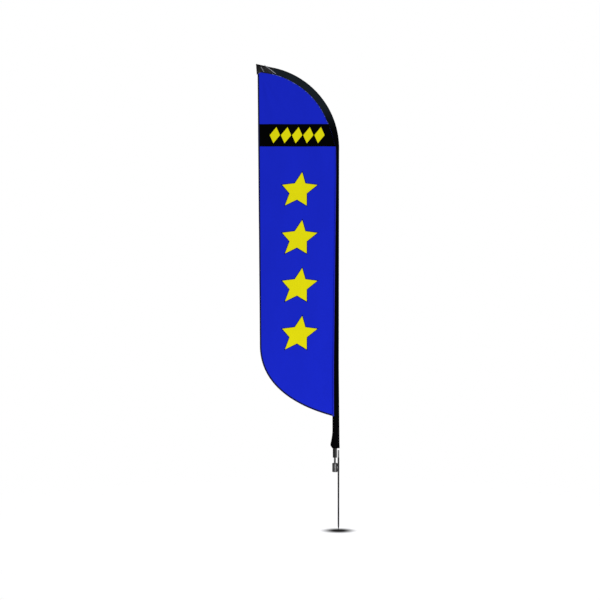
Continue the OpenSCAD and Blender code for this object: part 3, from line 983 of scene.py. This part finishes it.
# %% Panel
flat_points, flat_faces = triangles_within(outline, CLOTH_STEP)
blown_points = [(p.x, billow(p.x, p.y), p.y) for p in flat_points]
panel = piece_from(
    "printed_panel", blown_points, flat_faces, finishes["printed_cloth"], thickness=0.0007
)
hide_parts("flag_panel")

# %% [markdown]
# ## Seam lap
# The panel's edge is turned over the sleeve and sewn down, so a strip of print lies on the black
# cloth, wide low down and narrow round the bend. The strip follows the sleeve's own section.

# %% Lap over the seam
LAP = [(0.38, 0.0125), (2.6, 0.009), (2.82, 0.005), (3.1, 0.002)]
LAP_ROOM = 0.0012
LAP_STRIPS = 6


def reach_across(half, across):
    """How far along the section a point lies that is this far in from the seam."""
    walked = 0.0
    edge = half[0].x
    for a, b in zip(half, half[1:]):
        if b.x >= edge + across:
            return walked + (b - a).length * (edge + across - a.x) / max(b.x - a.x, 1e-9)
        walked += (b - a).length
    return walked


seam_stops = stops_between(PANEL_FOOT, POCKET_START + 0.004, CLOTH_STEP)
lap_points = []
for length in seam_stops:
    half = half_loop(length, LAP_ROOM)
    reach = reach_across(half, between(length, LAP))
    spots = along_loop(half, [reach * k / LAP_STRIPS for k in range(LAP_STRIPS + 1)])
    far = [Vector((p.x, -p.y)) for p in spots[:0:-1]]
    lap_points += [in_space(length, p) for p in far + spots]
lap_faces = rows_to_faces(len(seam_stops), 2 * LAP_STRIPS + 1, False)
lap = piece_from("seam_lap", lap_points, lap_faces, finishes["printed_cloth"], 0.0005)

# %% [markdown]
# ## Painted edge highlight
# A painted highlight runs along the very edge of the lap, laid on as colour: a fine pale line
# round the bend and a light blue one below the dark band.

# %% Strips of painted highlight
EDGE_HIGHLIGHT_W = 0.0024


def edge_highlight_strip(side, word):
    points = []
    for length in seam_stops:
        half = half_loop(length, LAP_ROOM + 0.0003)
        start = reach_across(half, between(length, LAP) - 0.0005)
        spots = along_loop(half, [start + EDGE_HIGHLIGHT_W * k / 2 for k in range(3)])
        points += [in_space(length, Vector((p.x, side * p.y))) for p in spots]
    faces = rows_to_faces(len(seam_stops), 3, False)
    return piece_from("selvage_" + word, points, faces, finishes["selvage"], 0.0003)


# Both faces get a strip of the painted highlight.
edge_highlight_strips = [edge_highlight_strip(side, word) for side, word in SIDES]

# %% [markdown]
# ## Binding
# A woven tape is folded over the free edge and the curved foot, so that they don't fray. Its
# section is a narrow U, which is carried along the edge and follows the billow of the cloth.

# %% Binding tape
BINDING_W = 0.014
bound_edge = free_edge + foot_edge
TAPE_SECTION = [
    (BINDING_W, -0.0008), (0.009, -0.0011), (0.003, -0.0011), (0.0006, -0.0008), (0.0, 0.0),
    (0.0006, 0.0008), (0.003, 0.0011), (0.009, 0.0011), (BINDING_W, 0.0008),
]


def inward_at(line, number):
    """The direction into the panel, square to its edge."""
    ahead = line[min(number + 1, len(line) - 1)] - line[max(number - 1, 0)]
    return Vector((-ahead.y, ahead.x)).normalized()


tape_points = []
for number, point in enumerate(bound_edge):
    inward = inward_at(bound_edge, number)
    for depth, out in TAPE_SECTION:
        spot = point + (depth - 0.0004) * inward
        tape_points.append((spot.x, billow(spot.x, spot.y) + out, spot.y))
tape_faces = rows_to_faces(len(bound_edge), len(TAPE_SECTION), False)
binding = piece_from("edge_tape", tape_points, tape_faces, finishes["binding_tape"], 0.0004)
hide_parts("edge_binding")

# %% [markdown]
# ## Tip pocket
# A pouch of glossy coated cloth takes the pull of the rod's end. Its outline is filled as the panel
# was, once for each side, and both sides are pushed out over the rod, down to a thin rim.

# %% Height of the pocket over the rod
POCKET_STEP = 0.005
POCKET_FOOT = POCKET_START - 0.006
tip_direction = Vector((-math.sin(heading(PATH_END)), math.cos(heading(PATH_END))))


def pocket_half_height(point):
    """How thick the pouch is on each side of its middle plane, at a point."""
    from_end = point - line_at(BEND_END)
    length = BEND_END + from_end.dot(tip_direction)
    aside = from_end.dot(outward(PATH_END))
    half = half_loop(min(length, PATH_END), 0.0018)
    height = 0.0016
    for a, b in zip(half, half[1:]):
        if a.x <= aside <= b.x and b.x > a.x:
            height = max(height, a.y + (b.y - a.y) * (aside - a.x) / (b.x - a.x))
    rough = noise.noise(Vector((90 * point.x, 0, 90 * point.y)))
    return height + 0.0005 * rough


pocket_outline = (
    [outer_edge(length) for length in stops_between(POCKET_FOOT, PATH_END, POCKET_STEP)]
    + spread(tip_corner, pocket_corner, POCKET_STEP)[1:]
    + spread(pocket_corner, pocket_turn, POCKET_STEP)
    + spread(pocket_turn, seam_edge(POCKET_FOOT), POCKET_STEP)
    + spread(seam_edge(POCKET_FOOT), outer_edge(POCKET_FOOT), POCKET_STEP)
)
print("pocket outline has", len(pocket_outline), "points")

# %% Pocket
pocket_flat, pocket_faces = triangles_within(pocket_outline, POCKET_STEP)
rim = len(pocket_outline)
inside = pocket_flat[rim:]
front = [(p.x, -pocket_half_height(p), p.y) for p in inside]
back = [(p.x, pocket_half_height(p), p.y) for p in inside]
rim_points = [(p.x, 0, p.y) for p in pocket_flat[:rim]]
behind = [
    tuple(v if v < rim else v + len(inside) for v in reversed(face)) for face in pocket_faces
]
pocket = piece_from(
    "tip_pocket_shell", rim_points + front + back, pocket_faces + behind, finishes["pocket_vinyl"]
)
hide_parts("tip_pocket")

# %% [markdown]
# ## Stitches
# One stitch is a low-sided bead of thread, modelled once. A row is that bead copied along a line,
# turned to follow it and lying on the cloth. Two needles sewed each seam, so front and back match.

# %% One stitch
THREAD_R = 0.00042
STITCH_HALF_LEN = 0.0019
STITCH_PITCH = 0.0058
bpy.ops.object.select_all(action="DESELECT")
bpy.ops.mesh.primitive_uv_sphere_add(segments=6, ring_count=4, radius=1, location=(0, 0, 0))
one_stitch = bpy.context.object
one_stitch.scale = (THREAD_R, THREAD_R, STITCH_HALF_LEN)
bpy.ops.object.transform_apply(location=False, rotation=False, scale=True)
stitch_points = [v.co.copy() for v in one_stitch.data.vertices]
stitch_faces = [tuple(face.vertices) for face in one_stitch.data.polygons]
bpy.data.objects.remove(one_stitch)
print("a stitch has", len(stitch_faces), "faces")


def stitch_row(name, line, finish):
    """Copy the stitch along a line of points."""
    points, faces = [], []
    whole = loop_length(line)
    count = int(whole / STITCH_PITCH)
    middles = along_loop(line, [(k + 0.5) * whole / count for k in range(count)])
    aheads = along_loop(line, [(k + 0.7) * whole / count for k in range(count)])
    for middle, ahead in zip(middles, aheads):
        turn = (ahead - middle).to_track_quat("Z", "Y").to_matrix()
        base = len(points)
        points += [turn @ p + middle for p in stitch_points]
        faces += [tuple(base + v for v in face) for face in stitch_faces]
    return piece_from(name, points, faces, finish)


# %% Rows along the seam
def seam_line(side, distance, room, low=PANEL_FOOT, high=POCKET_START - 0.004):
    line = []
    for length in stops_between(low, high, 0.01):
        half = half_loop(length, room)
        spot = along_loop(half, [reach_across(half, between(length, distance))])[0]
        line.append(in_space(length, Vector((spot.x, side * spot.y))))
    return line


LAP_STITCH = [(0.38, 0.0095), (2.6, 0.006), (2.82, 0.0027), (3.1, 0.0008)]
lap_rows = [
    stitch_row("lap_stitches_" + word, seam_line(side, LAP_STITCH, 0.0018), blue_thread)
    for side, word in SIDES
]

# %% Rows along the binding
TAPE_STITCH_IN = 0.0115
for side, word in SIDES:
    line = []
    for number, point in enumerate(bound_edge):
        spot = point + TAPE_STITCH_IN * inward_at(bound_edge, number)
        line.append(Vector((spot.x, billow(spot.x, spot.y) + side * 0.0013, spot.y)))
    stitch_row("tape_stitches_" + word, line, dark_thread)

# %% Rows round the tail's hem and down its edge
def round_line(length, room):
    half = half_loop(length, room)
    whole = [Vector((p.x, -p.y)) for p in half[::-1]] + half[1:]
    return [in_space(length, p) for p in whole]


hem_rows = [
    stitch_row("hem_stitches_" + word, round_line(length, 0.0016), dark_thread)
    for length, word in ((HEM_TOP - 0.004, "upper"), (TAIL_FOOT + 0.004, "lower"))
]
tail_rows = [
    stitch_row(
        "tail_stitches_" + word,
        seam_line(side, [(0, 0.006)], 0.0008, HEM_TOP + 0.006, PANEL_FOOT - 0.004),
        dark_thread,
    )
    for side, word in SIDES
]

# %% [markdown]
# ## Pale cords on the pocket
# Two pale cords cross the pocket: a long one over the rod's end and a short one near the free
# edge. Each is a half-round cord that lies on the shell.

# %% Pale cords on the pocket
def pale_cord(name, start, end, side, radius, around=8):
    line = []
    for point in spread(start, end, 0.004) + [end]:
        line.append(Vector((point.x, side * (pocket_half_height(point) + radius * 0.6), point.y)))
    points = []
    back = Vector((0, 1, 0))
    across = (line[-1] - line[0]).normalized().cross(back).normalized()
    for middle in line:
        for k in range(around):
            turn = FULL_TURN * k / around
            points.append(middle + radius * (math.cos(turn) * across + math.sin(turn) * back))
    faces = rows_to_faces(len(line), around, True)
    faces += [tuple(range(around))[::-1], tuple(range(len(points) - around, len(points)))]
    return piece_from(name, points, faces, light_thread)


PALE_CORDS = [
    ("long", (-0.678, 3.754), (-0.574, 3.674), 0.0022),
    ("short", (-0.7085, 3.735), (-0.6815, 3.692), 0.0013),
]
pale_cords = [
    pale_cord(f"pocket_welt_{word}_{face}", Vector(start), Vector(end), side, radius)
    for word, start, end, radius in PALE_CORDS
    for side, face in SIDES
]

# %% [markdown]
# ## Strap
# Inside the tail, a loop of webbing hangs on the collar's hook and keeps the sleeve pulled down.
# A block of the loop's size has its two sides inset and bridged through, and its edges bevelled.

# %% Webbing strap
WEBBING_T = 0.0016
WEBBING_EDGE_R = 0.0007
strap_low, strap_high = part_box("tension_strap")
strap_middle = (strap_low + strap_high) / 2
strap_size = strap_high - strap_low
bpy.ops.object.select_all(action="DESELECT")
bpy.ops.mesh.primitive_cube_add(size=1, location=strap_middle, scale=strap_size)
strap = bpy.context.object
strap.name = strap.data.name = "webbing_loop"
bpy.ops.object.transform_apply(location=True, rotation=False, scale=True)


def pick_faces(piece, wanted):
    """Select the faces that pass a test, ready for edit mode."""
    for item in (*piece.data.vertices, *piece.data.edges):
        item.select = False
    for face in piece.data.polygons:
        face.select = wanted(face)


pick_faces(strap, lambda face: abs(face.normal.x) > 0.9)
bpy.ops.object.mode_set(mode="EDIT")
bpy.ops.mesh.select_mode(type="FACE")
bpy.ops.mesh.inset(thickness=WEBBING_T, use_individual=True)
bpy.ops.mesh.bridge_edge_loops()
bpy.ops.mesh.select_all(action="DESELECT")
bpy.ops.object.mode_set(mode="OBJECT")
for edge in strap.data.edges:
    a, b = (strap.data.vertices[v].co for v in edge.vertices)
    edge.select = abs(a.x - b.x) > 0.9 * strap_size.x
bpy.ops.object.mode_set(mode="EDIT")
bpy.ops.mesh.select_mode(type="EDGE")
bpy.ops.mesh.bevel(offset=WEBBING_EDGE_R, segments=3, affect="EDGES")
bpy.ops.object.mode_set(mode="OBJECT")
bpy.ops.object.shade_smooth_by_angle(angle=math.radians(40))
strap.data.materials.append(finishes["webbing"])
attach(strap, "pole")
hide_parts("tension_strap")
print("webbing_loop", len(strap.data.polygons), "faces")

# %% [markdown]
# ## Welds
# Four short beads join the housing to the rod. A weld is a row of puddles that froze one over the
# next, so a bead is one squashed ball copied up in small steps and fused by a voxel remesh.

# %% Weld beads
weld_low, weld_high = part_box("weld_beads")
BEAD_H = 0.024
RIPPLES = 8
BEAD_HALF_W = 0.0031
BEAD_HALF_D = 0.0027
WELD_VOXEL = 0.00055
WELD_OFF_MIDDLE = 0.0052
ripple = BEAD_H / RIPPLES


def weld_bead(name, y, low):
    bpy.ops.object.select_all(action="DESELECT")
    bpy.ops.mesh.primitive_uv_sphere_add(
        segments=20,
        ring_count=12,
        radius=1,
        location=((weld_low.x + weld_high.x) / 2, y, low + ripple / 2),
        scale=(BEAD_HALF_W, BEAD_HALF_D, ripple * 0.95),
    )
    bead = bpy.context.object
    bead.name = bead.data.name = name
    bpy.ops.object.transform_apply(location=True, rotation=False, scale=True)
    bpy.ops.object.mode_set(mode="EDIT")
    bpy.ops.mesh.select_all(action="SELECT")
    for _ in range(RIPPLES - 1):
        bpy.ops.mesh.duplicate()
        bpy.ops.transform.translate(value=(0, 0, ripple))
    bpy.ops.object.mode_set(mode="OBJECT")
    fuse = bead.modifiers.new("fuse", "REMESH")
    fuse.mode = "VOXEL"
    fuse.voxel_size = WELD_VOXEL
    bpy.ops.object.modifier_apply(modifier="fuse")
    bpy.ops.object.shade_smooth()
    bead.data.materials.append(finishes["weld_metal"])
    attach(bead, "stake")
    print(name, len(bead.data.polygons), "faces")
    return bead


weld_starts = (weld_low.z, weld_high.z - BEAD_H)
beads = [
    weld_bead(f"weld_{level}_{face}", side * WELD_OFF_MIDDLE, low)
    for low, level in zip(weld_starts, ("lower", "upper"))
    for side, face in SIDES
]
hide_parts("weld_beads")

# %% [markdown]
# ## Floor
# The point of the stake stands on a pale round floor, which fades out towards its rim so that no
# edge or horizon cuts across the background. Round the point a soft contact shadow is painted into
# its colour. It is left out of reflections, or it would whiten the steel that stands on it.

# %% Floor
FLOOR_R = 4.5
FADE_START = 1.5
FADE_END = 4.4
SHADOW_CORE_R = 0.045
SHADOW_R = 0.2
SHADOW_SHIFT = 0.03
bpy.ops.object.select_all(action="DESELECT")
bpy.ops.mesh.primitive_circle_add(
    vertices=96, radius=FLOOR_R, fill_type="NGON", location=(0, 0, cad_low.z - 0.001)
)
floor = bpy.context.object
floor.name = "floor"
floor.visible_glossy = False
bpy.ops.object.transform_apply(location=True, rotation=False, scale=False)
floor_finish = Finish("studio_floor", Specular_IOR_Level=0.0, Emission_Strength=0.35)
mist = floor_finish.cloudy(3, 2)
from_middle = floor_finish.reach(floor_finish.x, floor_finish.y)
from_painted_shadow = floor_finish.reach(floor_finish.x, floor_finish.y + SHADOW_SHIFT)
# Painted shadow: the floor's colour is dark round the stake's point, and it does not glow there.
outside_painted_shadow = floor_finish.fade(from_painted_shadow, SHADOW_CORE_R, SHADOW_R)
floor_finish.set(
    Base_Color=floor_finish.blend(
        outside_painted_shadow, grey(0.02), floor_finish.blend(mist, grey(0.88), grey(0.92))
    ),
    Roughness=floor_finish.between(mist, 0.8, 0.95),
    Emission_Color=floor_finish.blend(outside_painted_shadow, grey(0), grey(1)),
    Alpha=1 - floor_finish.fade(from_middle, FADE_START, FADE_END),
)
floor.data.materials.append(floor_finish.material)
print("floor at", floor.data.vertices[0].co.z)
